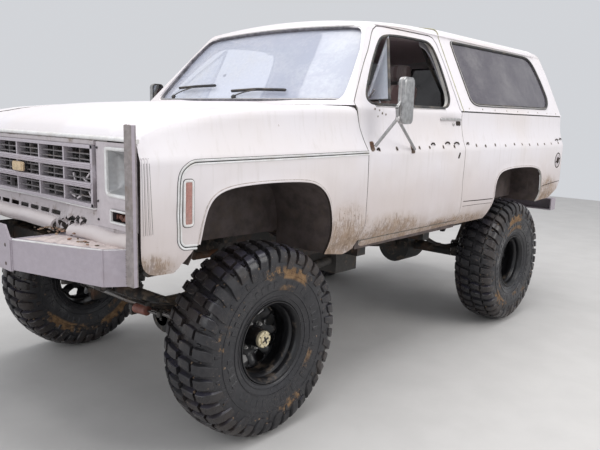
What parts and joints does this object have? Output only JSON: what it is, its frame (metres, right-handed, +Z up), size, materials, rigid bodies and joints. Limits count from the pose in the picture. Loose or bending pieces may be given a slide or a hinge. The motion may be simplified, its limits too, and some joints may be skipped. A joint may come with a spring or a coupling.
{
  "type": "lifted off-road 4x4",
  "caption": "Full-size lifted two-door off-road 4x4 with hollow cab, long fixed hardtop, big mud tyres and a home-made channel bumper; wheels, steering, doors, hood and tailgate move.",
  "frame": {"origin": "on the ground, in the middle of the vehicle's length and width", "axes": "+X to the vehicle's left, -Y to its front, +Z up"},
  "size_m": [2.332, 4.879, 2.2719],
  "materials": {
    "body_white": "faded gloss white, dirty",
    "chassis_black": "matt black with dust",
    "bumper_steel": "dull galvanised",
    "grille_grey": "satin",
    "glass_clear": "clear",
    "glass_tint": "dark tint",
    "mirror_shell": "satin",
    "interior_plastic": "matt",
    "seat_fabric": "woven",
    "engine_iron": "oily",
    "alloy": "dull",
    "exhaust_steel": "rusty",
    "shock_paint": "gloss",
    "wheel_black": "semi gloss",
    "tyre": "matt"
  },
  "bodies": {
    "body": {"frame": "chassis_black", "floor_pan": "body_white", "rear_quarters": "body_white", "cowl": "body_white", "cab_top": "body_white", "hardtop": "body_white", "windshield": "glass_clear", "quarter_glass": "glass_tint", "tailgate_glass": "glass_tint", "fender_left": "body_white", "fender_right": "body_white", "inner_fenders": "chassis_black", "grille": "grille_grey", "headlight_bezels": "grille_grey", "front_valance": "body_white", "front_bumper": "bumper_steel", "rear_bumper": "bumper_steel", "dashboard": "interior_plastic", "front_seats": "seat_fabric", "rear_seat": "seat_fabric", "engine_block": "engine_iron", "radiator": "alloy", "driveline": "engine_iron", "exhaust": "exhaust_steel", "fuel_tank": "chassis_black", "leaf_springs": "chassis_black", "shock_absorbers": "shock_paint", "axle_front": "chassis_black", "axle_rear": "chassis_black", "steering_gear": "engine_iron"},
    "left_door": {"door_left": "body_white", "vent_glass_left": "glass_clear", "mirror_left": "mirror_shell"},
    "right_door": {"door_right": "body_white", "vent_glass_right": "glass_clear", "mirror_right": "mirror_shell"},
    "bonnet": {"hood": "body_white"},
    "rear_gate": {"tailgate": "body_white"},
    "hand_wheel": {"steering_wheel": "interior_plastic"},
    "left_knuckle": {"knuckle_left": "engine_iron"},
    "right_knuckle": {"knuckle_right": "engine_iron"},
    "track_rod": {"tie_rod": "alloy"},
    "wheel_front_left": {"rim_front_left": "wheel_black", "tyre_front_left": "tyre"},
    "wheel_front_right": {"rim_front_right": "wheel_black", "tyre_front_right": "tyre"},
    "wheel_rear_left": {"rim_rear_left": "wheel_black", "tyre_rear_left": "tyre"},
    "wheel_rear_right": {"rim_rear_right": "wheel_black", "tyre_rear_right": "tyre"}
  },
  "joints": [
    {"name": "steer_left", "type": "hinge", "parent": "body", "child": "left_knuckle", "pos_m": [0.69, -1.42, 0.488], "axis": [0, 0, 1], "range_deg": [-28, 28]},
    {"name": "steer_right", "type": "hinge", "parent": "body", "child": "right_knuckle", "pos_m": [-0.69, -1.42, 0.488], "axis": [0, 0, 1], "range_deg": [-28, 28]},
    {"name": "tie_rod_pivot", "type": "hinge", "parent": "left_knuckle", "child": "track_rod", "pos_m": [0.69, -1.62, 0.54], "axis": [0, 0, 1], "range_deg": [-28, 28]},
    {"name": "steering_column", "type": "hinge", "parent": "body", "child": "hand_wheel", "pos_m": [0.37, -0.23, 1.58], "axis": [0, -0.929, -0.37], "range_deg": [-448, 448]},
    {"name": "spin_front_left", "type": "hinge", "parent": "left_knuckle", "child": "wheel_front_left", "pos_m": [0.878, -1.42, 0.488], "axis": [1, 0, 0], "continuous": true},
    {"name": "spin_front_right", "type": "hinge", "parent": "right_knuckle", "child": "wheel_front_right", "pos_m": [-0.878, -1.42, 0.488], "axis": [1, 0, 0], "continuous": true},
    {"name": "spin_rear_left", "type": "hinge", "parent": "body", "child": "wheel_rear_left", "pos_m": [0.918, 1.285, 0.488], "axis": [1, 0, 0], "continuous": true},
    {"name": "spin_rear_right", "type": "hinge", "parent": "body", "child": "wheel_rear_right", "pos_m": [-0.918, 1.285, 0.488], "axis": [1, 0, 0], "continuous": true},
    {"name": "door_left_hinge", "type": "hinge", "parent": "body", "child": "left_door", "pos_m": [1.003, -0.66, 1.2], "axis": [0, 0, -1], "range_deg": [0, 65]},
    {"name": "door_right_hinge", "type": "hinge", "parent": "body", "child": "right_door", "pos_m": [-1.003, -0.66, 1.2], "axis": [0, 0, 1], "range_deg": [0, 65]},
    {"name": "hood_hinge", "type": "hinge", "parent": "body", "child": "bonnet", "pos_m": [0, -0.852, 1.65], "axis": [-1, 0, 0], "range_deg": [0, 50]},
    {"name": "tailgate_hinge", "type": "hinge", "parent": "body", "child": "rear_gate", "pos_m": [0, 2.318, 0.972], "axis": [-1, 0, 0], "range_deg": [0, 90]}
  ],
  "couplings": [
    {"joint": "steer_right", "follows": "steer_left", "ratio": 1},
    {"joint": "tie_rod_pivot", "follows": "steer_left", "ratio": -1},
    {"joint": "steering_column", "follows": "steer_left", "ratio": 16}
  ]
}
